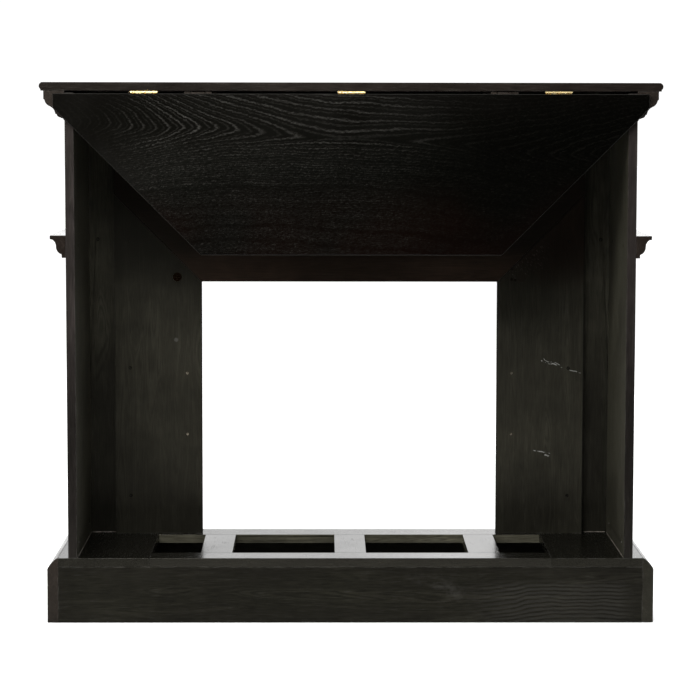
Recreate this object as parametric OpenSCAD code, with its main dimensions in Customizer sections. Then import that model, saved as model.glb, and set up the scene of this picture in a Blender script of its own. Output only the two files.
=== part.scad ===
// Corner fireplace mantel surround with a drop-down corner leaf.
// Front is -Y, rear is +Y, +Z is up, and right is +X seen from the front.
// The origin is on the floor, under the middle of the whole object.

/* [Overall] */
// Width across the top slab
slab_w = 1162; // [1150:1:1200]
// Height from the floor to the top of the slab
total_h = 1018; // [1000:1:1040]
// Depth of the carcass, from the slab's front edge to its rear plane
carcass_d = 368; // [364:1:380]
// Thickness of the top slab and of the corner leaf
slab_t = 16; // [15:0.5:18]

/* [Carcass boards] */
// Distance across the outer faces of the two side panels
panel_span = 1067; // [1060:1:1072]
// Thickness of a side panel
panel_t = 17; // [16:0.5:19]
// Thickness of the pilasters and the frieze panel
front_t = 16; // [15:0.5:18]
// Width of a pilaster on the front
pilaster_w = 180; // [170:1:190]
// Height of the frieze panel, down from the slab
frieze_h = 322; // [316:1:330]

/* [Firebox opening] */
// Width of the firebox opening
opening_w = 586; // [580:1:592]
// Top of the firebox opening above the floor
opening_top = 628; // [620:1:636]
// Width of the mitred surround's stiles
surround_w = 173; // [168:1:178]
// Thickness of the mitred surround
surround_t = 18; // [16:0.5:19]

/* [Mouldings] */
// How far the crown moulding stands out from the carcass
crown_out = 39; // [37:0.5:40]
// Height of the crown moulding
crown_h = 55; // [54:0.5:58]
// How far the ledge moulding stands out from the carcass
ledge_out = 29.5; // [28:0.5:31]
// Height of the ledge moulding
ledge_h = 42; // [41:0.5:44]
// Top of the ledge moulding above the floor
ledge_top = 733; // [728:1:738]

/* [Base] */
// Width across the base rails
base_w = 1147; // [1142:1:1152]
// Height of the base, to the top of its platform
base_h = 123.5; // [118:0.5:130]
// Thickness of the front and side base rails
rail_t = 20.5; // [20:0.5:22]
// Thickness of the platform boards
platform_t = 17; // [15:0.5:18]
// Width of the platform's rear strip
rear_strip_w = 61; // [56:1:66]
// Depth of the four cut-outs in the platform
cutout_d = 211; // [205:1:214]
// Width of the two large cut-outs
large_cutout_w = 196; // [190:1:198]
// Width of the two small cut-outs
small_cutout_w = 94; // [90:1:96]
// Width of the ribs between the cut-outs
rib_w = 60; // [56:1:62]

/* [Corner leaf] */
// Width of the leaf along its hinged edge
leaf_w = 1107; // [1100:1:1112]
// Height of the leaf as it hangs
leaf_h = 299; // [290:1:302]
// Length of the leaf's short upright sides
leaf_side = 26; // [22:1:30]

/* [Hinges] */
// Length of a butt hinge
hinge_len = 51; // [48:1:54]
// Distance from the middle hinge to an outer hinge
hinge_pitch = 386; // [380:1:392]
// Outer radius of a hinge knuckle
knuckle_r = 2.5; // [2.4:0.1:2.6]
// Radius of a hinge pin
pin_r = 1.25; // [1.2:0.05:1.3]
// Width of a hinge wing
wing_w = 19; // [18:0.5:20]

/* [Pull-out supports] */
// Distance of each support from the middle
loper_x = 285.5; // [280:0.5:290]
// Width of a support bar
loper_w = 26; // [24:0.5:28]
// Height of a support bar
loper_h = 20; // [18:0.5:22]
// Length of a support bar
loper_len = 272; // [250:1:276]
// Width of a guide cleat
guide_w = 12.5; // [12:0.5:14]

/* [Fasteners] */
// Radius of a wood screw's head
screw_head_r = 3.6; // [3.2:0.1:4]
// Radius of a wood screw's shank
screw_r = 2; // [1.8:0.1:2.2]
// Radius of a cam lock
cam_r = 9; // [8.5:0.5:9.5]
// Distance across the firebox bracket holes
bracket_span = 645; // [640:1:650]
// Upright distance between the firebox bracket holes
bracket_rise = 122; // [116:1:128]
// Radius of a firebox bracket hole
bracket_hole_r = 1.5; // [1.4:0.1:1.8]

/* [Hidden] */
$fn = 32;

// Colours
EBONY = [0.07, 0.065, 0.06];
EDGE_BROWN = [0.13, 0.11, 0.1];
BRASS = [0.8, 0.65, 0.35];
ZINC = [0.62, 0.62, 0.6];
RAW_WOOD = [0.7, 0.57, 0.42];
BLACK_PLASTIC = [0.05, 0.05, 0.05];

// Hinge line: the leaf hangs just behind the carcass and folds up level with the slab
hinge_air = 0.3;
leaf_air = 0.2;
axis_off = knuckle_r + hinge_air;
leaf_proud = leaf_air + slab_t;
slab_bottom = total_h - slab_t;
axis_z = slab_bottom - axis_off;
leaf_top = axis_z - knuckle_r;

// Planes in depth
rear_y = (carcass_d - leaf_proud) / 2;
front_edge_y = rear_y - carcass_d;
axis_y = rear_y + leaf_air - axis_off;
slab_setback = 2.1;
slab_rear_y = rear_y - slab_setback;
slab_over = (slab_w - panel_span) / 2;
front_face_y = front_edge_y + slab_over;
front_back_y = front_face_y + front_t;
surround_y = front_back_y + surround_t;

// Planes across
panel_x = panel_span / 2;
panel_in_x = panel_x - panel_t;
pilaster_in_x = panel_x - pilaster_w;
opening_x = opening_w / 2;
surround_x = opening_x + surround_w;
base_x = base_w / 2;
rail_in_x = base_x - rail_t;
base_front_y = front_face_y - (base_x - panel_x);
rail_in_y = base_front_y + rail_t;
platform_bottom = base_h - platform_t;
panel_drop = 4;
panel_top = slab_bottom - panel_drop;

// Platform layout
cutout_rear_y = rear_y - rear_strip_w;
cutout_front_y = cutout_rear_y - cutout_d;
rib_in_x = rib_w / 2 + large_cutout_w;
rib_out_x = rib_in_x + rib_w;
end_board_x = rib_out_x + small_cutout_w;

// Slab edge: a half-round nose over a small square quirk
nose_r = 7.25;
quirk_h = slab_t - 2 * nose_r;
quirk_in = 3;

// Base rail's eased top edge
ease_w = 18.5;
ease_h = 20.5;
ease_bulge = 1.6;
rear_rail_t = 16;
block_w = 30;
block_gap = 8;

// Joinery sizes
dowel_r = 4;
dowel_half = 15;
dowel_off = 15;
cleat_w = 25;
cleat_back = 30;
cleat_front = 285;
strap_t = 5;
strap_len = 30;
strap_inset = 40;
loper_air = 0.5;
loper_drop = 2;
loper_bottom = slab_bottom - loper_drop - loper_h;
strap_half = loper_w / 2 + loper_air + guide_w;
guide_back = 6;
loper_back = 4;
knuckle_count = 5;
knuckle_air = 0.2;
pin_head_r = 2.3;
pin_head_t = 1;
knuckle_run = hinge_len - 2 * pin_head_t;
knuckle_len = knuckle_run / knuckle_count;
bore_r = pin_r + 0.05;
wing_t = 1.2;
wing_start = 3.2;
wing_screw_pitch = 17;
wing_screw_in = 11.5;
small_head_r = 2.9;
small_shank_r = 1.4;
small_screw_len = 12;
head_h = 2.2;

// The surround's header runs up to the slab; its lower corners are mitred to the stiles, with a hair of air
mitre_air = 0.6;
mitre_top = opening_top + surround_w;

// Cam joint across each mitre of the surround
cam_in = 28;
cam_along = 40.7;
cam_depth = 12;
cam_cap_t = 1.5;
cam_bolt_r = 3.2;
cam_bore_r = 3.6;
cam_bolt_out = 24;
cam_slot_w = 1.8;
cam_slot_len = 11;
cam_slot_depth = 2;

// Screw places
surround_screw_x = 435.5;
surround_screw_z = [200, 456, 708];
surround_screw_len = 30;
ledge_screw_drop = 22;
ledge_screw_z = ledge_top - ledge_screw_drop;
ledge_screw_len = 28;
ledge_screw_depths = [67.5, 247];
front_ledge_screw_x = 499.5;
foot_screw_z = 149.5;
foot_screw_depths = [37, 258];
foot_screw_in = 1.5;
foot_screw_len = 45;
foot_screw_tilt = 25;
foot_pocket_len = 14;
bracket_z = 384.5;
bracket_depth = 12;
cleat_screw_depths = [60, 160, 260];
cleat_screw_step = 12;
cleat_screw_len = 36;

function swell(from, to, bulge, steps) =
    let (d = to - from, n = [-d[1], d[0]] / norm(d))
    [for (i = [0 : steps]) let (t = i / steps) from + d * t + n * 4 * bulge * t * (1 - t)];

// Crown outline: distance out from the carcass, height below the slab
crown_outline = concat(
    [[0, 0], [crown_out, 0], [crown_out, -15.5]],
    swell([crown_out - 2, -16.7], [27, -29], 2.2, 8),
    swell([27, -29], [17, -43], -2.4, 8),
    swell([14.6, -43.3], [9.2, -49.3], 1.2, 5),
    [[6.2, -50]],
    swell([6.2, -50.5], [0.8, -crown_h], -1.2, 5),
    [[0, -crown_h]]);

// Ledge outline: distance out from the carcass, height below its top
ledge_outline = concat(
    [[0, 0], [ledge_out, 0], [ledge_out, -7]],
    swell([ledge_out - 5, -8], [18, -19.5], -1.6, 6),
    swell([18, -19.5], [11, -34], 2.2, 8),
    [[7.5, -35.5], [7.5, -ledge_h], [0, -ledge_h]]);

// Base rail outline: distance out from its inner face, height above the floor
rail_outline = concat(
    [[0, 0], [rail_t, 0]],
    swell([rail_t, base_h - ease_h], [rail_t - ease_w, base_h], -ease_bulge, 10),
    [[0, base_h]]);

module board(x0, x1, y0, y1, z0, z1)
    translate([x0, y0, z0])
        cube([x1 - x0, y1 - y0, z1 - z0]);

module on_left()
    mirror([1, 0, 0])
        children();

// Right side as drawn for s = 1, mirrored to the left for s = -1
module on_side(s)
    if (s < 0)
        on_left()
            children();
    else
        children();

// Countersunk screw with its head face at the origin, driven along -Z
module screw(head_r, shank_r, len) {
    translate([0, 0, -head_h])
        cylinder(h = head_h, r1 = shank_r, r2 = head_r);
    translate([0, 0, -len])
        cylinder(h = len - head_h, r = shank_r);
}

module wood_screw(len)
    screw(screw_head_r, screw_r, len);

module small_screw()
    screw(small_head_r, small_shank_r, small_screw_len);

// Outline drawn in the XZ plane and thickened from y0 to y1
module upright(y0, y1)
    translate([0, y1, 0])
        rotate([90, 0, 0])
            linear_extrude(height = y1 - y0)
                children();

// A length of moulding along the right side, mitred at its front end.
// x_in and y_front are the carcass planes that it wraps.
module side_run(outline, x_in, y_front, y_rear, z, reach)
    difference() {
        translate([x_in, y_rear, z])
            rotate([90, 0, 0])
                linear_extrude(height = y_rear - y_front + reach)
                    polygon(outline);
        mitre_waste(x_in, y_front, reach, -1);
    }

// A length of moulding along the front, mitred at both ends
module front_run(outline, x_in, y_front, z, reach)
    difference() {
        translate([-x_in - reach, y_front, z])
            rotate([90, 0, 90])
                linear_extrude(height = 2 * (x_in + reach))
                    mirror([1, 0])
                        polygon(outline);
        for (s = [-1, 1])
            on_side(s)
                mitre_waste(x_in, y_front, reach, 0);
    }

// Upright prism on one side of the 45 degree mitre plane: behind it for shift 0, ahead for -1
module mitre_waste(x_in, y_front, reach, shift) {
    waste = 3 * reach;
    translate([x_in, y_front, -total_h])
        rotate([0, 0, -45])
            translate([-waste, shift * waste, 0])
                cube([2 * waste, waste, 3 * total_h]);
}

// ---------------------------------------------------------------- top

module slab_screw_holes() {
    hinge_screws_slab_solids();
    for (s = [-1, 1])
        on_side(s)
            cleat_slab_screws();
}

module top_slab()
    color(EBONY)
        difference() {
            union() {
                board(-slab_w / 2 + nose_r, slab_w / 2 - nose_r, front_edge_y + nose_r, slab_rear_y,
                    slab_bottom + quirk_h, total_h);
                board(-slab_w / 2 + quirk_in, slab_w / 2 - quirk_in, front_edge_y + quirk_in, slab_rear_y,
                    slab_bottom, slab_bottom + quirk_h + nose_r / 2);
                for (s = [-1, 1])
                    on_side(s)
                        slab_side_nose();
                translate([-slab_w / 2 + nose_r, front_edge_y + nose_r, total_h - nose_r])
                    rotate([0, 90, 0])
                        cylinder(h = slab_w - 2 * nose_r, r = nose_r);
            }
            slab_screw_holes();
        }

module slab_side_nose()
    translate([slab_w / 2 - nose_r, 0, total_h - nose_r]) {
        translate([0, slab_rear_y, 0])
            rotate([90, 0, 0])
                cylinder(h = slab_rear_y - front_edge_y - nose_r, r = nose_r);
        translate([0, front_edge_y + nose_r, 0])
            sphere(r = nose_r);
    }

module crown_front()
    color(EBONY)
        front_run(crown_outline, panel_x, front_face_y, slab_bottom, crown_out);

module crown_right()
    color(EBONY)
        side_run(crown_outline, panel_x, front_face_y, rear_y, slab_bottom, crown_out);

module crown_left()
    on_left()
        crown_right();

// ---------------------------------------------------------------- carcass

module side_panel_right()
    color(EDGE_BROWN)
        difference() {
            board(panel_in_x, panel_x, front_back_y, rear_y, base_h, panel_top);
            side_ledge_screws();
            side_foot_screws();
            foot_pockets();
            cleat_panel_screws();
        }

module side_panel_left()
    on_left()
        side_panel_right();

module pilaster_right()
    color(EBONY)
        difference() {
            board(pilaster_in_x, panel_x, front_face_y, front_back_y, base_h, slab_bottom);
            front_ledge_screw();
            stile_screws();
        }

module pilaster_left()
    on_left()
        pilaster_right();

module frieze_panel()
    color(EBONY)
        board(-pilaster_in_x, pilaster_in_x, front_face_y, front_back_y,
            slab_bottom - frieze_h, slab_bottom);

module ledge_front()
    color(EBONY)
        difference() {
            front_run(ledge_outline, panel_x, front_face_y, ledge_top, ledge_out);
            front_ledge_screw();
            on_left()
                front_ledge_screw();
        }

module ledge_right()
    color(EBONY)
        difference() {
            side_run(ledge_outline, panel_x, front_face_y, rear_y, ledge_top, ledge_out);
            side_ledge_screws();
        }

module ledge_left()
    on_left()
        ledge_right();

// ---------------------------------------------------------------- surround

module bracket_holes()
    for (z = [-1, 1] * bracket_rise / 2)
        translate([bracket_span / 2, surround_y, bracket_z + z])
            rotate([90, 0, 0])
                cylinder(h = bracket_depth, r = bracket_hole_r);

module surround_stile_right()
    color(EBONY)
        difference() {
            upright(front_back_y, surround_y)
                polygon([[opening_x, base_h], [surround_x, base_h],
                    [surround_x, mitre_top - mitre_air], [opening_x, opening_top - mitre_air]]);
            bracket_holes();
            stile_screws();
            cam_place()
                translate([0, 0, -cam_depth])
                    cylinder(h = cam_depth, r = cam_r);
            cam_line(cam_bore_r, cam_in);
        }

module surround_stile_left()
    on_left()
        surround_stile_right();

module surround_header()
    color(EBONY)
        difference() {
            upright(front_back_y, surround_y)
                polygon([[-opening_x, opening_top], [opening_x, opening_top],
                    [surround_x, mitre_top], [surround_x, panel_top],
                    [-surround_x, panel_top], [-surround_x, mitre_top]]);
            for (s = [-1, 1])
                on_side(s)
                    cam_line(cam_bolt_r, cam_in + cam_bolt_out);
        }

// Middle of the right cam on the surround's rear face, +Z pointing out of the face
module cam_place()
    translate([opening_x + (cam_along + cam_in) * cos(45), surround_y,
            opening_top + (cam_along - cam_in) * cos(45)])
        rotate([-90, 0, 0])
            children();

// Round bar from the cam's middle square across the mitre, half way through the board
module cam_line(r, len)
    cam_place()
        translate([0, 0, -surround_t / 2])
            rotate([0, 0, 45])
                rotate([0, -90, 0])
                    cylinder(h = len, r = r);

module cam_lock()
    difference() {
        cam_place()
            translate([0, 0, -cam_depth])
                cylinder(h = cam_depth - cam_cap_t, r = cam_r);
        cam_line(cam_bolt_r, cam_in);
        cam_place()
            for (a = [0, 90])
                rotate([0, 0, a])
                    translate([-cam_slot_len / 2, -cam_slot_w / 2, -cam_cap_t - cam_slot_depth])
                        cube([cam_slot_len, cam_slot_w, 2 * cam_slot_depth]);
    }

module cam_locks()
    color(ZINC)
        for (s = [-1, 1])
            on_side(s)
                cam_lock();

module cam_bolts()
    color(ZINC)
        for (s = [-1, 1])
            on_side(s)
                cam_line(cam_bolt_r, cam_in + cam_bolt_out);

module cam_cover_cap()
    color(BLACK_PLASTIC)
        on_left()
            cam_place()
                translate([0, 0, -cam_cap_t])
                    cylinder(h = cam_cap_t, r = cam_r);

// ---------------------------------------------------------------- base

module base_front_rail()
    color(EBONY)
        front_run(rail_outline, rail_in_x, rail_in_y, 0, rail_t);

module base_right_rail()
    color(EBONY)
        side_run(rail_outline, rail_in_x, rail_in_y, rear_y, 0, rail_t);

module base_left_rail()
    on_left()
        base_right_rail();

module base_rear_rail()
    color(EBONY)
        board(-rail_in_x, rail_in_x, rear_y - rear_rail_t, rear_y, 0, platform_bottom);

module base_corner_blocks()
    color(RAW_WOOD)
        for (s = [-1, 1])
            on_side(s)
                for (y = [rail_in_y, rear_y - rear_rail_t - block_w])
                    board(rail_in_x - block_w, rail_in_x, y, y + block_w, block_gap, platform_bottom);

module end_dowels()
    for (y = [(rail_in_y + cutout_front_y) / 2, (cutout_rear_y + rear_y) / 2])
        for (o = [-1, 1] * dowel_off)
            translate([end_board_x - dowel_half, y + o, base_h - platform_t / 2])
                rotate([0, 90, 0])
                    cylinder(h = 2 * dowel_half, r = dowel_r);

module rib_dowels(x)
    for (y = [cutout_front_y, cutout_rear_y])
        for (o = [-1, 1] * dowel_off)
            translate([x + o, y + dowel_half, base_h - platform_t / 2])
                rotate([90, 0, 0])
                    cylinder(h = 2 * dowel_half, r = dowel_r);

module platform_dowel_solids() {
    for (x = [-1, 0, 1] * (rib_in_x + rib_out_x) / 2)
        rib_dowels(x);
    for (s = [-1, 1])
        on_side(s)
            end_dowels();
}

module platform_dowels()
    color(RAW_WOOD)
        platform_dowel_solids();

module platform_end_right()
    color(EBONY)
        difference() {
            board(end_board_x, rail_in_x, rail_in_y, rear_y, platform_bottom, base_h);
            end_dowels();
            side_foot_screws();
        }

module platform_end_left()
    on_left()
        platform_end_right();

module platform_strip(y0, y1)
    color(EBONY)
        difference() {
            board(-end_board_x, end_board_x, y0, y1, platform_bottom, base_h);
            platform_dowel_solids();
        }

module platform_front_strip()
    platform_strip(rail_in_y, cutout_front_y);

module platform_rear_strip()
    platform_strip(cutout_rear_y, rear_y);

module platform_rib(x0, x1)
    color(EBONY)
        difference() {
            board(x0, x1, cutout_front_y, cutout_rear_y, platform_bottom, base_h);
            rib_dowels((x0 + x1) / 2);
        }

module platform_rib_left()
    platform_rib(-rib_out_x, -rib_in_x);

module platform_rib_centre()
    platform_rib(-rib_w / 2, rib_w / 2);

module platform_rib_right()
    platform_rib(rib_in_x, rib_out_x);

// ---------------------------------------------------------------- under the slab

module top_cleat_right()
    color(EDGE_BROWN)
        difference() {
            board(panel_in_x - cleat_w, panel_in_x, rear_y - cleat_front, rear_y - cleat_back,
                slab_bottom - cleat_w, slab_bottom);
            cleat_slab_screws();
            cleat_panel_screws();
        }

module top_cleat_left()
    on_left()
        top_cleat_right();

// Screws up through the cleat into the slab
module cleat_slab_screws()
    for (d = cleat_screw_depths)
        translate([panel_in_x - cleat_w / 2, rear_y - d, slab_bottom - cleat_w])
            rotate([180, 0, 0])
                wood_screw(cleat_screw_len);

// Screws sideways through the cleat into the side panel
module cleat_panel_screws()
    for (d = cleat_screw_depths)
        translate([panel_in_x - cleat_w, rear_y - d - cleat_screw_step, slab_bottom - cleat_w / 2])
            rotate([0, -90, 0])
                wood_screw(cleat_screw_len);

module cleat_screws()
    color(ZINC)
        for (s = [-1, 1])
            on_side(s) {
                cleat_slab_screws();
                cleat_panel_screws();
            }

module loper_right()
    color(EDGE_BROWN)
        board(loper_x - loper_w / 2, loper_x + loper_w / 2,
            rear_y - loper_back - loper_len, rear_y - loper_back,
            loper_bottom, slab_bottom - loper_drop);

module loper_left()
    on_left()
        loper_right();

module loper_guide(side)
    color(EDGE_BROWN)
        translate([loper_x + side * (loper_w + guide_w + 2 * loper_air) / 2 - guide_w / 2, 0, 0])
            board(0, guide_w, rear_y - guide_back - loper_len, rear_y - guide_back,
                loper_bottom, slab_bottom);

module loper_guide_right_outer()
    loper_guide(1);

module loper_guide_right_inner()
    loper_guide(-1);

module loper_guide_left_outer()
    on_left()
        loper_guide(1);

module loper_guide_left_inner()
    on_left()
        loper_guide(-1);

module loper_straps()
    color(RAW_WOOD)
        for (s = [-1, 1])
            on_side(s)
                for (d = [strap_inset, loper_len - strap_inset])
                    board(loper_x - strap_half, loper_x + strap_half,
                        rear_y - d - strap_len, rear_y - d,
                        loper_bottom - strap_t, loper_bottom);

// ---------------------------------------------------------------- hinges

// Tube pieces of one hinge, on the hinge line; first is 0 for the fixed wing, 1 for the moving one
module knuckles(first)
    for (i = [first : 2 : knuckle_count - 1])
        translate([-knuckle_run / 2 + i * knuckle_len + knuckle_air / 2, 0, 0])
            rotate([0, 90, 0])
                cylinder(h = knuckle_len - knuckle_air, r = knuckle_r);

// Flat of one wing, reaching along -Y, its outer face axis_off above the hinge line
module wing_plate(first) {
    board(-knuckle_run / 2, knuckle_run / 2, -wing_w, -wing_start, axis_off - wing_t, axis_off);
    for (i = [first : 2 : knuckle_count - 1])
        translate([-knuckle_run / 2 + i * knuckle_len + knuckle_air / 2, 0, 0])
            board(0, knuckle_len - knuckle_air, -wing_start, 0, axis_off - wing_t, axis_off);
}

module wing_screws()
    for (x = [-1, 0, 1] * wing_screw_pitch)
        translate([x, -wing_screw_in, axis_off - wing_t])
            rotate([180, 0, 0])
                small_screw();

module wing(first)
    color(BRASS)
        difference() {
            union() {
                knuckles(first);
                wing_plate(first);
            }
            wing_screws();
            translate([-hinge_len, 0, 0])
                rotate([0, 90, 0])
                    cylinder(h = 2 * hinge_len, r = bore_r);
        }

// The moving wing hangs down against the leaf's front face
module hang()
    mirror([0, 1, -1])
        children();

module at_hinge(x)
    translate([x, axis_y, axis_z])
        children();

module hinge_fixed_wing(x)
    at_hinge(x)
        wing(0);

module hinge_moving_wing(x)
    at_hinge(x)
        hang()
            wing(1);

module hinge_pin(x)
    color(BRASS)
        at_hinge(x)
            rotate([0, 90, 0]) {
                cylinder(h = hinge_len - pin_head_t, r = pin_r, center = true);
                for (s = [-1, 1])
                    translate([0, 0, s * (hinge_len - pin_head_t) / 2])
                        cylinder(h = pin_head_t, r = pin_head_r, center = true);
            }

module hinge_fixed_wing_left()
    hinge_fixed_wing(-hinge_pitch);

module hinge_fixed_wing_centre()
    hinge_fixed_wing(0);

module hinge_fixed_wing_right()
    hinge_fixed_wing(hinge_pitch);

module hinge_moving_wing_left()
    hinge_moving_wing(-hinge_pitch);

module hinge_moving_wing_centre()
    hinge_moving_wing(0);

module hinge_moving_wing_right()
    hinge_moving_wing(hinge_pitch);

module hinge_pin_left()
    hinge_pin(-hinge_pitch);

module hinge_pin_centre()
    hinge_pin(0);

module hinge_pin_right()
    hinge_pin(hinge_pitch);

module hinge_screws_slab_solids()
    for (x = [-1, 0, 1] * hinge_pitch)
        at_hinge(x)
            wing_screws();

module hinge_screws_slab()
    color(BRASS)
        hinge_screws_slab_solids();

module hinge_screws_leaf_solids()
    for (x = [-1, 0, 1] * hinge_pitch)
        at_hinge(x)
            hang()
                wing_screws();

module hinge_screws_leaf()
    color(BRASS)
        hinge_screws_leaf_solids();

module corner_leaf()
    color(EBONY)
        difference() {
            upright(rear_y + leaf_air, rear_y + leaf_proud)
                polygon([[-leaf_w / 2, leaf_top], [-leaf_w / 2, leaf_top - leaf_side],
                    [-leaf_w / 2 + leaf_h - leaf_side, leaf_top - leaf_h],
                    [leaf_w / 2 - leaf_h + leaf_side, leaf_top - leaf_h],
                    [leaf_w / 2, leaf_top - leaf_side], [leaf_w / 2, leaf_top]]);
            hinge_screws_leaf_solids();
        }

// ---------------------------------------------------------------- screws

// Right stile screws, from the surround's rear face into the pilaster
module stile_screws()
    for (z = surround_screw_z)
        translate([surround_screw_x, surround_y, z])
            rotate([-90, 0, 0])
                wood_screw(surround_screw_len);

module surround_screws()
    color(ZINC)
        for (s = [-1, 1])
            on_side(s)
                stile_screws();

// Screw from the right pilaster's rear face into the front ledge moulding
module front_ledge_screw()
    translate([front_ledge_screw_x, front_back_y, ledge_screw_z])
        rotate([-90, 0, 0])
            wood_screw(ledge_screw_len);

// Screws from the right side panel's inner face into the side ledge moulding
module side_ledge_screws()
    for (d = ledge_screw_depths)
        translate([panel_in_x, rear_y - d, ledge_screw_z])
            rotate([0, -90, 0])
                wood_screw(ledge_screw_len);

module ledge_screws()
    color(ZINC)
        for (s = [-1, 1])
            on_side(s) {
                front_ledge_screw();
                side_ledge_screws();
            }

// Line of each slanted screw that ties the side panel's foot to the platform
module foot_lines()
    for (d = foot_screw_depths)
        translate([panel_in_x + foot_screw_in, rear_y - d, foot_screw_z])
            rotate([0, -foot_screw_tilt, 0])
                children();

module side_foot_screws()
    foot_lines()
        wood_screw(foot_screw_len);

module foot_pockets()
    foot_lines()
        cylinder(h = foot_pocket_len, r = screw_head_r);

module foot_screws()
    color(ZINC)
        for (s = [-1, 1])
            on_side(s)
                side_foot_screws();

top_slab();
crown_front();
crown_left();
crown_right();
side_panel_left();
side_panel_right();
pilaster_left();
pilaster_right();
frieze_panel();
ledge_front();
ledge_left();
ledge_right();
surround_header();
surround_stile_left();
surround_stile_right();
base_front_rail();
base_left_rail();
base_right_rail();
base_rear_rail();
base_corner_blocks();
platform_end_left();
platform_end_right();
platform_front_strip();
platform_rear_strip();
platform_rib_left();
platform_rib_centre();
platform_rib_right();
platform_dowels();
top_cleat_left();
top_cleat_right();
cleat_screws();
loper_left();
loper_right();
loper_guide_left_outer();
loper_guide_left_inner();
loper_guide_right_inner();
loper_guide_right_outer();
loper_straps();
hinge_fixed_wing_left();
hinge_fixed_wing_centre();
hinge_fixed_wing_right();
hinge_pin_left();
hinge_pin_centre();
hinge_pin_right();
hinge_moving_wing_left();
hinge_moving_wing_centre();
hinge_moving_wing_right();
hinge_screws_slab();
hinge_screws_leaf();
corner_leaf();
cam_locks();
cam_bolts();
cam_cover_cap();
surround_screws();
ledge_screws();
foot_screws();
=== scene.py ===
"""Looks for the corner fireplace mantel: lacquered wood, brass, screws, glue lines and a soft studio."""

import math

import bmesh
import bpy
import numpy as np
from mathutils import Matrix, Vector


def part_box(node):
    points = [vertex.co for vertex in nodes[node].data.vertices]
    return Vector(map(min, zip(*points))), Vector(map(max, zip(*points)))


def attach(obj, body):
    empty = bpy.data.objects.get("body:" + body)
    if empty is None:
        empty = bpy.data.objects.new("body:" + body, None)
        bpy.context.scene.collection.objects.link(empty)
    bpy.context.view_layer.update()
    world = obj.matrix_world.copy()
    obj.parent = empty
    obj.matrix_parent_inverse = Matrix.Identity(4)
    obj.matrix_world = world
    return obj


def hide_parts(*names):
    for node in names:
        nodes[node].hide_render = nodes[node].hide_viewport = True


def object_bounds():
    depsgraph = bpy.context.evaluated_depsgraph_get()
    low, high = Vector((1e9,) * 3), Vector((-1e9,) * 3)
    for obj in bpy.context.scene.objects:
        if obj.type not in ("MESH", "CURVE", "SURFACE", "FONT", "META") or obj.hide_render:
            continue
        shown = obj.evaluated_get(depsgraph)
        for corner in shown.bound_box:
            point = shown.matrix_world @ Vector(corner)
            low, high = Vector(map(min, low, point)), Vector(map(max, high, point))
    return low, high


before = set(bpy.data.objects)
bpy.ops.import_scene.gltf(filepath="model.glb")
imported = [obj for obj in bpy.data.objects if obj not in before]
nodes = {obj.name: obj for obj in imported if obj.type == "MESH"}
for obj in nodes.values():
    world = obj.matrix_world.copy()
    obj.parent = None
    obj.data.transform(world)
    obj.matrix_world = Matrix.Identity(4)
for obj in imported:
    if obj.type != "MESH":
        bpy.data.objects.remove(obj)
cad_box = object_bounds()
rear_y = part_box("base_rear_rail")[1].y
MM = 0.001


# ---------------------------------------------------------------- camera

CAMERA_OFFSET = Vector((0.0523, 4.8048, 0.9672))  # from the middle of the rear plane, at floor level
CAMERA_TURN = math.radians(0.600)
CAMERA_TILT = math.radians(5.332)
CAMERA_ROLL = math.radians(0.091)
SENSOR_MM = 36.0
LENS_MM = 132.30
VIEW_RANGE = 100.0


def make_camera():
    data = bpy.data.cameras.new("camera")
    data.sensor_width = SENSOR_MM
    data.lens = LENS_MM
    data.clip_end = VIEW_RANGE
    camera = bpy.data.objects.new("camera", data)
    bpy.context.collection.objects.link(camera)
    forward = Vector((
        -math.sin(CAMERA_TURN) * math.cos(CAMERA_TILT),
        -math.cos(CAMERA_TURN) * math.cos(CAMERA_TILT),
        -math.sin(CAMERA_TILT)))
    turn = forward.to_track_quat("-Z", "Y").to_matrix() @ Matrix.Rotation(CAMERA_ROLL, 3, "Z")
    place = Vector((0.0, rear_y, 0.0)) + CAMERA_OFFSET
    camera.matrix_world = Matrix.Translation(place) @ turn.to_4x4()
    bpy.context.scene.camera = camera


# ---------------------------------------------------------------- node graphs

COLOUR_INPUTS = ("Base_Color", "Specular_Tint", "Emission_Color")


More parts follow.
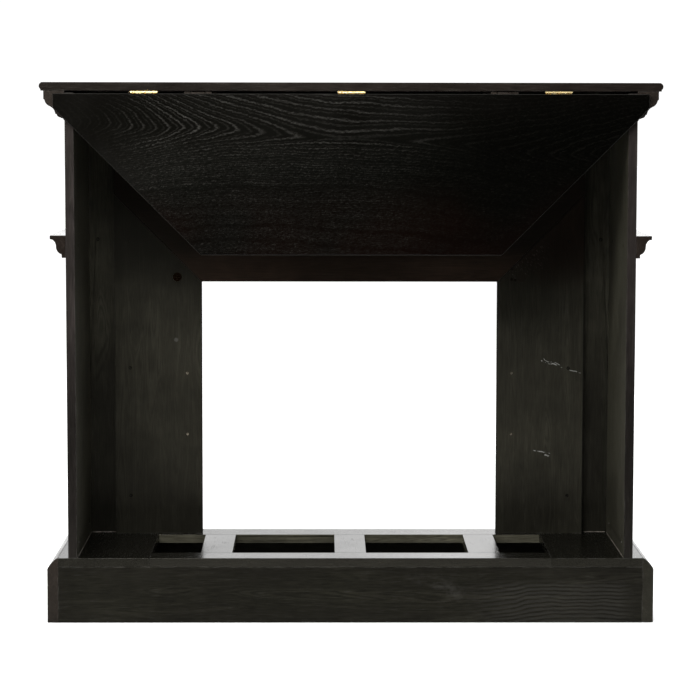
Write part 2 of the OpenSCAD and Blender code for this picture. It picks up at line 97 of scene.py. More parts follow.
class Graph:
    """Short spellings for building one node tree."""

    def __init__(self, tree, coordinates):
        self.tree = tree
        self.tree.nodes.clear()
        self.place = self.tree.nodes.new("ShaderNodeTexCoord").outputs[coordinates]

    def put(self, value, socket):
        """Links a socket, or sets a constant on it."""
        if isinstance(value, bpy.types.NodeSocket):
            self.tree.links.new(value, socket)
        else:
            socket.default_value = value

    def math(self, operation, a, b=0.0, c=0.0):
        node = self.tree.nodes.new("ShaderNodeMath")
        node.operation = operation
        for value, socket in zip((a, b, c), node.inputs):
            self.put(value, socket)
        return node.outputs[0]

    def plus(self, *values):
        total = values[0]
        for value in values[1:]:
            total = self.math("ADD", total, value)
        return total

    def times(self, *values):
        product = values[0]
        for value in values[1:]:
            product = self.math("MULTIPLY", product, value)
        return product

    def minus(self, a, b):
        return self.math("SUBTRACT", a, b)

    def scaled(self, value, factor, offset):
        return self.math("MULTIPLY_ADD", value, factor, offset)

    def axes(self, vector=None):
        """The three parts of a vector, or of the place on the surface."""
        node = self.tree.nodes.new("ShaderNodeSeparateXYZ")
        self.put(vector or self.place, node.inputs[0])
        return node.outputs[0], node.outputs[1], node.outputs[2]

    def facing(self):
        """The three parts of the face's own normal."""
        return self.axes(self.tree.nodes.new("ShaderNodeNewGeometry").outputs["True Normal"])

    def vector(self, x, y, z):
        node = self.tree.nodes.new("ShaderNodeCombineXYZ")
        for value, socket in zip((x, y, z), node.inputs):
            self.put(value, socket)
        return node.outputs[0]

    def stretched(self, scale, offset=(0.0, 0.0, 0.0)):
        node = self.tree.nodes.new("ShaderNodeMapping")
        self.put(self.place, node.inputs["Vector"])
        node.inputs["Scale"].default_value = scale
        node.inputs["Location"].default_value = offset
        return node.outputs[0]

    def noise(self, vector, scale, detail=2.0, roughness=0.5, distortion=0.0):
        node = self.tree.nodes.new("ShaderNodeTexNoise")
        self.put(vector, node.inputs["Vector"])
        node.inputs["Scale"].default_value = scale
        node.inputs["Detail"].default_value = detail
        node.inputs["Roughness"].default_value = roughness
        node.inputs["Distortion"].default_value = distortion
        return node.outputs["Fac"]

    def wander(self, vector, reach, scale, detail=2.0, roughness=0.5):
        """Noise that swings between -reach and reach."""
        return self.scaled(self.noise(vector, scale, detail, roughness), 2.0 * reach, -reach)

    def band(self, value, low, high, start=0.0, end=1.0):
        """start where value is at low, end where it is at high, and a smooth step between."""
        node = self.tree.nodes.new("ShaderNodeMapRange")
        node.interpolation_type = "SMOOTHSTEP"
        for item, socket in zip((value, low, high, start, end), node.inputs):
            self.put(item, socket)
        return node.outputs[0]

    def mix(self, factor, a, b):
        """Colour a where factor is 0, colour b where it is 1."""
        node = self.tree.nodes.new("ShaderNodeMix")
        node.data_type = "RGBA"
        for value, socket in ((factor, node.inputs[0]), (a, node.inputs[6]), (b, node.inputs[7])):
            if isinstance(value, tuple):
                value = (*value, 1.0)
            self.put(value, socket)
        return node.outputs[2]

    def tinted(self, colour, amount):
        """A colour multiplied by an amount."""
        result = self.mix(1.0, colour, self.vector(amount, amount, amount))
        result.node.blend_type = "MULTIPLY"
        return result


class Surface(Graph):
    """The node tree of one material with a single Principled shader."""

    def __init__(self, name):
        self.material = bpy.data.materials.new(name)
        self.material.use_nodes = True
        super().__init__(self.material.node_tree, "Object")
        self.shader = self.tree.nodes.new("ShaderNodeBsdfPrincipled")
        output = self.tree.nodes.new("ShaderNodeOutputMaterial")
        self.tree.links.new(self.shader.outputs[0], output.inputs["Surface"])

    def set(self, **values):
        """Sets the shader's inputs by name, with _ for each space."""
        for name, value in values.items():
            if name in COLOUR_INPUTS and not isinstance(value, bpy.types.NodeSocket):
                value = (*value, 1.0)
            self.put(value, self.shader.inputs[name.replace("_", " ")])

    def bump(self, height, distance, strength):
        node = self.tree.nodes.new("ShaderNodeBump")
        node.inputs["Strength"].default_value = strength
        node.inputs["Distance"].default_value = distance
        self.put(height, node.inputs["Height"])
        self.put(node.outputs[0], self.shader.inputs["Normal"])


def paint(node_name, material):
    for slot in nodes[node_name].material_slots:
        slot.material = material


# ---------------------------------------------------------------- tones

GREEN_BLACK = (0.0135, 0.0128, 0.0092)
BROWN_BLACK = (0.0150, 0.0112, 0.0092)
RED_BLACK = (0.0160, 0.0095, 0.0062)
# Worn brown of the sawn rear edges; darkened, it is also the painted shade low down on them.
WORN_AND_SHADED_BROWN = (0.0140, 0.0114, 0.0106)
# Black of the open joints, also used for the painted shade on the leaf.
GAP_AND_SHADE_BLACK = (0.0002, 0.0002, 0.0001)
# Pale dust in pores, rubbed edges and rail marks, also used for the painted highlight on the leaf's eased
# edges.
DUST_AND_HIGHLIGHT = (0.060, 0.058, 0.053)
RAW_WOOD = (0.52, 0.44, 0.33)
LACQUER_TINT = (1.0, 0.95, 0.80)
WOOD_IOR = 1.5
PLASTIC_IOR = 1.46


def shade(tone, amount):
    return tuple(amount * channel for channel in tone)


# ---------------------------------------------------------------- masks
# A mask is a function of a graph that gives 1 where something shows and 0 elsewhere.

SCUFF_SHOW = 0.30
SCRATCH_WANDER = 6.0 * MM
SCRATCH_TAPER = 4.0 * MM


def height_fade(gone, full):
    """Mask that is 0 at the height gone and 1 at the height full."""
    def mask(graph):
        _, _, z = graph.axes()
        return graph.band(z, gone, full)
    return mask


# Heights in metres: the lower half of the uprights, their foot, and the upper part of the surround; the wood
# is darkened there as painted shade.
low_part = height_fade(gone=0.62, full=0.36)
foot_part = height_fade(gone=0.34, full=0.16)
above_opening = height_fade(gone=0.655, full=0.700)


def head_part(graph):
    """The head of a surround stile, with an uneven lower end, where the leaf's shadow is painted on."""
    _, _, z = graph.axes()
    uneven = graph.wander(graph.place, reach=50.0 * MM, scale=7.0, detail=3.0)
    return graph.band(graph.plus(z, uneven), 0.59, 0.68)


def rear_faces(graph):
    """The sawn edges in the rear plane."""
    _, y, _ = graph.axes()
    return graph.band(y, rear_y - 1.0 * MM, rear_y - 0.4 * MM)


def rear_foot(graph):
    """The sawn edges in the rear plane, low down, where they are darkened as painted shade."""
    return graph.times(rear_faces(graph), low_part(graph))


def cut_faces(graph):
    """Faces that look sideways, not up or down."""
    _, _, up = graph.facing()
    return graph.band(graph.math("ABSOLUTE", up), 0.6, 0.4)


def distance_from(graph, centre):
    """Distance in metres from a point of the XZ plane."""
    x, _, z = graph.axes()
    dx = graph.minus(x, centre[0])
    dz = graph.minus(z, centre[1])
    return graph.math("SQRT", graph.plus(graph.times(dx, dx), graph.times(dz, dz)))


def spot(centre, radius):
    """Mask of a small disc in the XZ plane with ragged edges."""
    def mask(graph):
        ragged = graph.times(graph.noise(graph.place, scale=900.0), 1.2 * radius)
        return graph.band(graph.plus(distance_from(graph, centre), ragged), 1.7 * radius, 1.2 * radius)
    return mask


def scuff(centre, radius):
    """Mask of faint slanting rub marks inside a round patch of the XZ plane."""
    def mask(graph):
        x, _, z = graph.axes()
        slant = graph.vector(graph.plus(x, z), 0.0, graph.times(graph.minus(z, x), 3.0))
        rub = graph.band(graph.noise(slant, scale=90.0, detail=3.0, roughness=0.7), 0.56, 0.70)
        patch = graph.band(distance_from(graph, centre), radius, 0.3 * radius)
        return graph.times(rub, patch, SCUFF_SHOW)
    return mask


def scratch(start, end, width, broken_below):
    """Mask of a thin broken line in the XZ plane; more of it is missing when broken_below is higher."""
    run = Vector(end) - Vector(start)
    length = run.length
    run /= length

    def mask(graph):
        x, _, z = graph.axes()
        dx = graph.minus(x, start[0])
        dz = graph.minus(z, start[1])
        along = graph.plus(graph.times(dx, run.x), graph.times(dz, run.y))
        across = graph.plus(graph.times(dx, -run.y), graph.times(dz, run.x))
        across = graph.plus(across, graph.wander(graph.place, reach=SCRATCH_WANDER, scale=45.0))
        near = graph.band(graph.math("ABSOLUTE", across), width, 0.3 * width)
        begun = graph.band(along, 0.0, SCRATCH_TAPER)
        inside = graph.times(begun, graph.band(along, length, length - SCRATCH_TAPER))
        gaps = graph.noise(graph.place, scale=160.0, detail=3.0)
        return graph.times(near, inside, graph.band(gaps, broken_below, broken_below + 0.08))
    return mask


def joint_line(edge_x, inward):
    """Mask of a hairline along the upright edge at x = edge_x; inward, 1 or -1, points into the board."""
    def mask(graph):
        x, _, _ = graph.axes()
        return graph.band(graph.times(graph.minus(x, edge_x), inward), 2.0 * MM, 0.8 * MM)
    return mask


def on_rear(node_name, mask):
    """The same mask on the rear half of one board only."""
    low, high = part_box(node_name)
    middle = 0.5 * (low.y + high.y)

    def rear_mask(graph):
        _, y, _ = graph.axes()
        return graph.times(mask(graph), graph.band(y, middle - 0.5 * MM, middle + 0.5 * MM))
    return rear_mask


# ---------------------------------------------------------------- lacquered wood

ACROSS_GRAIN = 14.0
PORES_ALONG = 1.6
PORES_ACROSS = 63.0
RINGS_PER_UNIT = 11.0
STREAK_SHOW = 0.55
STREAK_LOSS = 0.40
RING_SHOW = 0.50
CLOUD_SHOW = 0.45
CLOUD_LEAST = 0.75
PORE_SHOW = 0.14
RUB_SHOW = 0.28
RUB_FULL = 0.3 * MM
RUB_GONE = 2.2 * MM
ROUGHNESS_SWING = 0.08
PORE_ROUGHNESS = 0.22
MARK_ROUGHNESS = 0.8
LACQUER_RELIEF = 0.22 * MM


def grain_scale(grain, along, across):
    """Stretch of the texture space: along on the grain's axis, across on the other two."""
    return tuple(along if axis == grain else across for axis in "XYZ")


def edge_distance(graph, box):
    """Distance in metres from a point on a box to that box's nearest edge."""
    gaps = []
    for value, low, high in zip(graph.axes(), *box):
        gaps.append(graph.math("MINIMUM", graph.minus(value, low), graph.minus(high, value)))
    least = graph.math("MINIMUM", gaps[0], gaps[1])
    most = graph.math("MAXIMUM", gaps[0], gaps[1])
    return graph.math("MAXIMUM", least, graph.math("MINIMUM", most, gaps[2]))


def ring_line(graph, rings, rise, fade, gone, strength=1.0):
    """One line in each growth ring: full by rise, weaker after fade, ended at gone."""
    ring = graph.math("FRACT", rings)
    return graph.times(graph.band(ring, 0.0, rise), graph.band(ring, gone, fade, 0.0, strength))


def ring_to_ring(graph, rings, rate):
    """Noise that changes slowly from ring to ring."""
    return graph.noise(graph.vector(graph.times(rings, rate), 0.0, 0.0), scale=1.0, detail=1.0)


def growth_lines(graph, long_place):
    """Narrow light lines along the grain, uneven in strength."""
    warp = graph.times(graph.noise(long_place, scale=1.6, detail=2.0, roughness=0.55), 0.6)
    drift = graph.noise(long_place, scale=3.2, detail=1.0, roughness=0.4, distortion=0.8)
    rings = graph.times(graph.plus(drift, warp), RINGS_PER_UNIT)
    line = ring_line(graph, rings, rise=0.30, fade=0.55, gone=0.95)
    return graph.times(line, graph.band(ring_to_ring(graph, rings, 0.27), 0.35, 0.65, 0.15, 1.0))


def wood(name, box, grain, seed, tone, rough, level=0.12, contrast=1.0, stains=(), marks=()):
    """Dark lacquered wood: grain along one axis, growth lines, open pores, worn edges, staining, painted
    shade and marks.

    The list of tones laid under the grain holds (mask, tone) pairs, real staining and painted shade alike,
    and marks holds (mask, strength, tone) over it.
    """
    graph = Surface(name)
    shift = Vector((seed * 1.37 % 5.0, seed * 2.11 % 5.0, seed * 0.83 % 5.0))
    place = graph.stretched((1.0, 1.0, 1.0), shift)
    long_place = graph.stretched(grain_scale(grain, 1.0, ACROSS_GRAIN), shift)
    fine_place = graph.stretched(grain_scale(grain, PORES_ALONG, PORES_ACROSS), shift)
    rings = growth_lines(graph, long_place)
    streak = graph.noise(long_place, scale=30.0, detail=4.0, roughness=0.7)
    cloud = graph.band(graph.noise(place, scale=6.0, detail=4.0, roughness=0.65), 0.36, 0.68)
    pores = graph.band(graph.noise(fine_place, scale=22.0, detail=2.0, roughness=0.6), 0.56, 0.66)
    pores = graph.times(pores, graph.scaled(rings, 0.7, 0.3))

    # Tones laid under the grain: real staining on some boards, painted shade on others.
    for mask, stain in stains:
        tone = graph.mix(mask(graph), tone, stain)
    streaks = graph.band(streak, 0.30, 0.70)
    amount = graph.scaled(streaks, STREAK_SHOW * contrast, 1.0 - STREAK_LOSS * contrast)
    amount = graph.plus(amount, graph.times(rings, RING_SHOW * contrast))
    amount = graph.times(amount, graph.scaled(cloud, CLOUD_SHOW, CLOUD_LEAST))
    colour = graph.mix(graph.times(pores, PORE_SHOW * contrast), graph.tinted(tone, amount), DUST_AND_HIGHLIGHT)
    worn = graph.band(graph.noise(place, scale=60.0, detail=4.0, roughness=0.7), 0.42, 0.62)
    rub = graph.times(graph.band(edge_distance(graph, box), RUB_GONE, RUB_FULL), worn)
    colour = graph.mix(graph.times(rub, RUB_SHOW), colour, DUST_AND_HIGHLIGHT)

    swing = graph.noise(place, scale=9.0, detail=3.0)
    roughness = graph.scaled(swing, 2.0 * ROUGHNESS_SWING, rough - ROUGHNESS_SWING)
    roughness = graph.plus(roughness, graph.times(pores, PORE_ROUGHNESS))
    for mask, strength, mark_tone in marks:
        shown = graph.times(mask(graph), strength)
        colour = graph.mix(shown, colour, mark_tone)
        roughness = graph.math("MAXIMUM", roughness, graph.times(shown, MARK_ROUGHNESS))
    graph.set(Base_Color=colour, Roughness=roughness, IOR=WOOD_IOR, Specular_IOR_Level=level,
              Specular_Tint=LACQUER_TINT)

    orange_peel = graph.times(graph.noise(place, scale=240.0, detail=1.0), 0.10)
    height = graph.minus(graph.times(streak, 0.25), graph.times(pores, 0.5))
    graph.bump(graph.plus(height, orange_peel), distance=LACQUER_RELIEF, strength=0.55)
    return graph.material


# ---------------------------------------------------------------- leaf veneer
# Flat-sawn grain: two sets of arches that point at each other.  Lengths in metres.

ARCH_MEET = (0.004, 0.9160)
ARCH_TILT = 0.060
RING_STEP = 0.0170
RING_START = 0.58
ABOVE_REACH, ABOVE_POWER = 0.075, 1.35
ABOVE_SPREAD = (0.08, 0.36, 0.074, 0.116)  # two distances from the meeting point, and the spread at each
BELOW_REACH, BELOW_POWER, BELOW_SPREAD = 0.039, 1.47, 0.078
NARROW_ARCHES = 0.55
LEAF_DARK = (0.0020, 0.0018, 0.0014)
LEAF_LIGHT = (0.0045, 0.0043, 0.0037)
LEAF_RED = (0.0016, 0.0004, 0.0002)
LEAF_PORE = (0.050, 0.048, 0.043)
LEAF_GLOSS_LEVEL = 0.019
FLECK_SHOW = 0.09
# Strength of the painted highlight on the leaf's eased edges.
EDGE_HIGHLIGHT_SHOW = 0.30


def arch_rings(graph):
    """Growth ring count over the leaf: whole numbers lie on the rings."""
    x, _, z = graph.axes()
    slow_place = graph.stretched((1.0, 1.0, 2.5), (2.0, 0.4, 1.7))
    quick_place = graph.stretched((1.0, 1.0, 2.0), (0.3, 0.0, 0.9))
    slow = graph.wander(slow_place, reach=15.0 * MM, scale=6.0)
    quick = graph.wander(quick_place, reach=5.0 * MM, scale=110.0, detail=3.0, roughness=0.75)
    along = graph.minus(x, ARCH_MEET[0])
    middle = graph.scaled(along, ARCH_TILT, ARCH_MEET[1])
    across = graph.plus(graph.minus(z, middle), graph.plus(slow, quick))

    def rise(side, reach, power):
        return graph.math("POWER", graph.math("DIVIDE", graph.math("MAXIMUM", side, 0.0), reach), power)

    spread_above = graph.band(graph.math("ABSOLUTE", along), *ABOVE_SPREAD)
    above = graph.times(rise(across, ABOVE_REACH, ABOVE_POWER), spread_above)
    below = graph.times(rise(graph.times(across, -1.0), BELOW_REACH, BELOW_POWER), BELOW_SPREAD)
    fan = graph.times(along, along, graph.band(along, -0.06, 0.06, NARROW_ARCHES, 1.0))
    return graph.math("DIVIDE", graph.minus(fan, graph.plus(above, below)), RING_STEP)


def leaf_lines(graph, rings):
    """Light lines on the rings, with a fainter set between them."""
    x, _, _ = graph.axes()
    line = ring_line(graph, graph.plus(rings, RING_START), rise=0.08, fade=0.12, gone=0.26)
    between = ring_line(graph, graph.scaled(rings, 2.0, 0.3), rise=0.15, fade=0.20, gone=0.45, strength=0.35)
    far_end = graph.band(x, 0.48, 0.34, 0.10, 1.0)
    uneven = graph.band(ring_to_ring(graph, rings, 0.31), 0.30, 0.66, 0.35, 1.0)
    return graph.times(graph.math("MAXIMUM", line, between), far_end, uneven)


def leaf_veneer():
    graph = Surface("leaf_veneer")
    x, _, z = graph.axes()
    fibre_place = graph.stretched((1.0, 1.0, 6.0), (1.1, 0.0, 0.2))
    fleck_place = graph.stretched((1.0, 1.0, 7.0), (3.1, 0.0, 0.4))
    fibre = graph.noise(fibre_place, scale=150.0, detail=3.0, roughness=0.7)
    pores = graph.times(leaf_lines(graph, arch_rings(graph)), graph.band(fibre, 0.38, 0.60, 0.05, 1.0))
    flecks = graph.band(graph.noise(fleck_place, scale=120.0, detail=2.0, roughness=0.6), 0.58, 0.72)
    cloud = graph.band(graph.noise(graph.place, scale=4.5, detail=3.0, roughness=0.6), 0.35, 0.70)
    # Painted shade: the veneer is darkened towards its bottom and its -X side, where the light falls off, and
    # its lines fade there too.
    painted_light = graph.band(graph.scaled(x, 0.3, z), 0.78, 1.03, 0.08, 1.0)
    red_cloud = graph.band(graph.noise(graph.place, scale=5.0, detail=2.0), 0.3, 0.6)
    red = graph.times(graph.band(z, 0.86, 0.74), red_cloud)

    colour = graph.mix(painted_light, GAP_AND_SHADE_BLACK, graph.mix(cloud, LEAF_DARK, LEAF_LIGHT))
    colour = graph.mix(red, colour, LEAF_RED)
    strength = graph.times(graph.scaled(painted_light, 0.50, 0.50), graph.scaled(cloud, 0.25, 0.75))
    strength = graph.times(strength, graph.band(x, -0.26, 0.04, 0.07, 1.0))
    colour = graph.mix(graph.times(pores, strength), colour, LEAF_PORE)
    colour = graph.mix(graph.times(flecks, FLECK_SHOW), colour, LEAF_PORE)
    # Painted highlight: a pale line on the leaf's eased edges, standing in for light caught by the rounding.
    _, rearward, _ = graph.facing()
    edge_highlight = graph.times(graph.band(rearward, 0.97, 0.90), graph.band(rearward, 0.10, 0.30))
    colour = graph.mix(graph.times(edge_highlight, EDGE_HIGHLIGHT_SHOW), colour, DUST_AND_HIGHLIGHT)

    roughness = graph.scaled(graph.noise(graph.place, scale=7.0, detail=3.0), 0.14, 0.30)
    roughness = graph.plus(roughness, graph.times(pores, 0.3))
    graph.set(Base_Color=colour, Roughness=roughness, IOR=WOOD_IOR, Specular_IOR_Level=LEAF_GLOSS_LEVEL,
              Specular_Tint=LACQUER_TINT)
    graph.bump(graph.minus(graph.times(fibre, 0.15), pores), distance=0.30 * MM, strength=0.6)
    return graph.material


# ---------------------------------------------------------------- raw wood, metal, plastic, glue

PINE_EARLY = (0.55, 0.40, 0.24)
PINE_LATE = (0.38, 0.24, 0.12)
PINE_FIBRE = (0.66, 0.52, 0.36)
BRUSH_SCALE = (1.0, 18.0, 18.0)
CAP_TONE = (0.0110, 0.0086, 0.0060)
GLUE_DARK = (0.05, 0.042, 0.034)
GLUE_LIGHT = (0.16, 0.14, 0.12)


def raw_pine():
    graph = Surface("raw_pine")
    place = graph.stretched(grain_scale("Y", 1.0, ACROSS_GRAIN), (1.0, 0.7, 0.3))
    rings = graph.math("FRACT", graph.times(graph.noise(place, scale=2.5, detail=2.0), RINGS_PER_UNIT))
    fibre = graph.noise(place, scale=40.0, detail=4.0, roughness=0.7)
    colour = graph.mix(graph.times(rings, 0.6), PINE_EARLY, PINE_LATE)
    colour = graph.mix(graph.times(fibre, 0.5), colour, PINE_FIBRE)
    graph.set(Base_Color=colour, Roughness=0.75, IOR=WOOD_IOR, Specular_IOR_Level=0.3)
    graph.bump(fibre, distance=0.3 * MM, strength=0.6)
    return graph.material


def metal(name, colour, tarnish, rough):
    """Plated metal: fine brush lines, darker tarnish in patches."""
    graph = Surface(name)
    lines = graph.noise(graph.stretched(BRUSH_SCALE), scale=220.0, detail=3.0, roughness=0.6)
    patches = graph.band(graph.noise(graph.place, scale=130.0, detail=4.0, roughness=0.6), 0.45, 0.75)
    mixed = graph.mix(graph.times(patches, 0.7), colour, tarnish)
    mixed = graph.mix(graph.times(lines, 0.25), mixed, tarnish)
    graph.set(Base_Color=mixed, Metallic=1.0, Roughness=graph.scaled(patches, 0.25, rough))
    graph.bump(lines, distance=0.04 * MM, strength=0.5)
    return graph.material


def cap_plastic():
    graph = Surface("cap_plastic")
    grain = graph.noise(graph.place, scale=1400.0, detail=2.0)
    colour = graph.mix(grain, CAP_TONE, shade(CAP_TONE, 1.6))
    graph.set(Base_Color=colour, Roughness=0.5, IOR=PLASTIC_IOR, Specular_IOR_Level=0.08)
    graph.bump(grain, distance=0.05 * MM, strength=0.5)
    return graph.material


def dried_glue():
    graph = Surface("dried_glue")
    lumps = graph.noise(graph.place, scale=70.0, detail=4.0, roughness=0.7)
    colour = graph.mix(graph.band(lumps, 0.35, 0.65), GLUE_DARK, GLUE_LIGHT)
    graph.set(Base_Color=colour, Roughness=0.42, IOR=PLASTIC_IOR, Specular_IOR_Level=0.5)
    graph.bump(lumps, distance=0.3 * MM, strength=0.7)
    return graph.material


# ---------------------------------------------------------------- meshes

def new_object(name, bm):
    mesh = bpy.data.meshes.new(name)
    bm.to_mesh(mesh)
    bm.free()
    obj = bpy.data.objects.new(name, mesh)
    bpy.context.collection.objects.link(obj)
    return obj


def lathe(bm, profile, steps):
    """Closed solid of revolution about Z from (radius, height) points that start and end on the axis."""
    rings = []
    for radius, height in profile:
        if radius == 0.0:
            rings.append([bm.verts.new((0.0, 0.0, height))])
            continue
        angles = [2.0 * math.pi * i / steps for i in range(steps)]
        rings.append([bm.verts.new((radius * math.cos(a), radius * math.sin(a), height)) for a in angles])
    for low, high in zip(rings, rings[1:]):
        for i in range(steps):
            j = (i + 1) % steps
            corners = []
            for vertex in (low[i % len(low)], low[j % len(low)], high[j % len(high)], high[i % len(high)]):
                if vertex not in corners:
                    corners.append(vertex)
            bm.faces.new(corners)
    bmesh.ops.recalc_face_normals(bm, faces=bm.faces)


def tube(bm, rings):
    """Closed solid through rings of matching points."""
    verts = [[bm.verts.new(point) for point in ring] for ring in rings]
    count = len(verts[0])
    for low, high in zip(verts, verts[1:]):
        for i in range(count):
            j = (i + 1) % count
            bm.faces.new((low[i], low[j], high[j], high[i]))
    bm.faces.new(verts[0][::-1])
    bm.faces.new(verts[-1])
    bmesh.ops.recalc_face_normals(bm, faces=bm.faces)


def boolean_cut(obj, cutter):
    modifier = obj.modifiers.new("cut", "BOOLEAN")
    modifier.operation = "DIFFERENCE"
    modifier.solver = "EXACT"
    modifier.object = cutter
    depsgraph = bpy.context.evaluated_depsgraph_get()
    mesh = bpy.data.meshes.new_from_object(obj.evaluated_get(depsgraph))
    obj.modifiers.clear()
    old = obj.data
    obj.data = mesh
    bpy.data.meshes.remove(old)
    bpy.data.objects.remove(cutter)


def islands(mesh):
    """Vertex positions of each separate solid in a mesh."""
    parent = list(range(len(mesh.vertices)))

    def root(i):
        while parent[i] != i:
            parent[i] = parent[parent[i]]
            i = parent[i]
        return i

    for edge in mesh.edges:
        a, b = root(edge.vertices[0]), root(edge.vertices[1])
        parent[a] = b
    places = np.array([vertex.co[:] for vertex in mesh.vertices])
    keys = {tuple(np.round(p, 6)): i for i, p in reversed(list(enumerate(places)))}
    for i, p in enumerate(places):
        parent[root(i)] = root(keys[tuple(np.round(p, 6))])
    groups = {}
    for i in range(len(places)):
        groups.setdefault(root(i), []).append(places[i])
    return [np.array(group) for group in groups.values()]


# ---------------------------------------------------------------- screws

HEAD_STEPS = 40
RECESS_ARM_W = 0.20
RECESS_ARM_L = 0.62
RECESS_DEPTH = 0.55
THREAD_ROOT = 0.72
THREAD_PITCH = 1.1
SCREW_SINK = 0.05 * MM
FIRST_SPIN = 0.35
SPIN_STEP = 0.9


def screw_axis(points):
    """Head centre, direction out of the head, head radius, shank radius and length of one screw."""
    middle = points.mean(axis=0)
    axis = np.linalg.svd(points - middle)[2][0]
    along = (points - middle) @ axis
    radii = np.linalg.norm(points - middle - np.outer(along, axis), axis=1)
    top, bottom = np.isclose(along, along.max(), atol=1e-5), np.isclose(along, along.min(), atol=1e-5)
    if radii[bottom].max() > radii[top].max():
        axis, top, bottom = -axis, bottom, top
    head = points[top].mean(axis=0)
    head_r = np.linalg.norm(points[top] - head, axis=1).max()
    tip = points[bottom].mean(axis=0)
    shank_r = np.linalg.norm(points[bottom] - tip, axis=1).max()
    return Vector(head), Vector(axis).normalized(), head_r, shank_r, (Vector(head) - Vector(tip)).length


def cross_cutter(head_r, depth):
    """Tapered cross-shaped prism that sinks the driver recess into a screw head."""
    rings = []
    for height, arm_taper, width_taper in ((depth, 1.0, 1.0), (-depth, 0.45, 0.7)):
        arm = RECESS_ARM_L * head_r * arm_taper
        half = RECESS_ARM_W * head_r * width_taper
        ring = []
        for turn in range(4):
            spin = Matrix.Rotation(turn * math.pi / 2.0, 2)
            for corner in ((half, half), (half, arm), (-half, arm)):
                ring.append((*(spin @ Vector(corner)), height))
        rings.append(ring)
    bm = bmesh.new()
    tube(bm, rings)
    return new_object("recess", bm)


def one_screw(head_r, shank_r, length):
    """Countersunk screw with a cross recess and a thread; its head face is at the origin, facing +Z."""
    rim, cone = 0.08 * head_r, 0.62 * head_r
    root_r = THREAD_ROOT * shank_r
    pitch = THREAD_PITCH * shank_r
    turns = int((length - cone - 2.5 * shank_r) / pitch)
    profile = [(0.0, 0.0), (0.93 * head_r, 0.0), (head_r, -rim), (head_r, -2.0 * rim), (0.8 * shank_r, -cone)]
    for i in range(turns):
        start = -cone - 0.8 * shank_r - i * pitch
        profile += [(root_r, start), (shank_r, start - 0.35 * pitch), (root_r, start - 0.7 * pitch)]
    profile += [(0.3 * shank_r, -0.98 * length), (0.0, -length)]
    bm = bmesh.new()
    lathe(bm, profile, HEAD_STEPS)
    screw = new_object("screw", bm)
    boolean_cut(screw, cross_cutter(head_r, RECESS_DEPTH * cone))
    return screw


def screw_piece(node_name, material, body):
    """Replaces a node of plain screws with detailed ones at the same places."""
    models = {}
    bm = bmesh.new()
    for index, points in enumerate(islands(nodes[node_name].data)):
        head, axis, head_r, shank_r, length = screw_axis(points)
        key = (round(head_r, 5), round(shank_r, 5), round(length, 5))
        if key not in models:
            models[key] = one_screw(head_r, shank_r, length)
        spin = Matrix.Rotation(FIRST_SPIN + SPIN_STEP * index, 4, "Z")
        turn = axis.to_track_quat("Z", "Y").to_matrix().to_4x4() @ spin
        copy = models[key].data.copy()
        copy.transform(Matrix.Translation(head - axis * SCREW_SINK) @ turn)
        bm.from_mesh(copy)
        bpy.data.meshes.remove(copy)
    piece = new_object(node_name + "_detailed", bm)
    for model in models.values():
        bpy.data.objects.remove(model)
    for polygon in piece.data.polygons:
        polygon.use_smooth = False
    piece.data.materials.append(material)
    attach(piece, body)
    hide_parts(node_name)


# ---------------------------------------------------------------- glue lines

GLUE_SIZE = 1.6 * MM
GLUE_STEP = 6.0 * MM
GLUE_LEAST_STEPS = 12
GLUE_TAPER = 8.0
GLUE_TIP = 0.2
GLUE_LEAST = 0.55
GLUE_UNEVEN = 0.45
GLUE_BULGE = 0.42
GLUE_INSET = 1.0 * MM


def glue_bead(name, start, end, inward, material):
    """Thin uneven fillet of dried glue along an inside corner, from start to end."""
    rng = np.random.default_rng(len(name))
    up = Vector((0.0, 0.0, 1.0))
    run = end - start
    steps = max(GLUE_LEAST_STEPS, int(run.length / GLUE_STEP))
    rings = []
    for i in range(steps + 1):
        middle = start + run * (i / steps)
        tapered_end = min(1.0, GLUE_TAPER * min(i, steps - i) / steps + GLUE_TIP)
        girth = GLUE_SIZE * (GLUE_LEAST + GLUE_UNEVEN * rng.random()) * tapered_end
        bulge = (inward + up) * girth * GLUE_BULGE
        rings.append([middle, middle + inward * girth, middle + bulge, middle + up * girth])
    bm = bmesh.new()
    tube(bm, rings)
    bead = new_object(name, bm)
    for polygon in bead.data.polygons:
        polygon.use_smooth = True
    bead.data.materials.append(material)
    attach(bead, "carcass")


def glue_lines():
    """Glue where the platform meets the side panels and the surround's stiles."""
    material = dried_glue()
    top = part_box("platform_rear_strip")[1].z
    for side, name in ((-1, "left"), (1, "right")):
        panel_lo, panel_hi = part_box("side_panel_" + name)
        stile_lo, stile_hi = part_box("surround_stile_" + name)
        panel_face = panel_lo.x if side > 0 else panel_hi.x
        stile_edge = stile_hi.x if side > 0 else stile_lo.x
        glue_bead("glue_line_" + name,
                  Vector((panel_face, panel_lo.y + GLUE_INSET, top)),
                  Vector((panel_face, panel_hi.y - GLUE_INSET, top)),
                  Vector((-side, 0.0, 0.0)), material)
        glue_bead("pilaster_glue_line_" + name,
                  Vector((stile_edge, stile_lo.y, top)),
                  Vector((panel_face, stile_lo.y, top)),
                  Vector((0.0, 1.0, 0.0)), material)


# ---------------------------------------------------------------- boards

BOARD_EASING = 0.8 * MM
LEAF_EASING = 1.2 * MM
EASING_STEPS = 3
SHARP_ANGLE = math.radians(35.0)
WELD_DISTANCE = 0.002 * MM

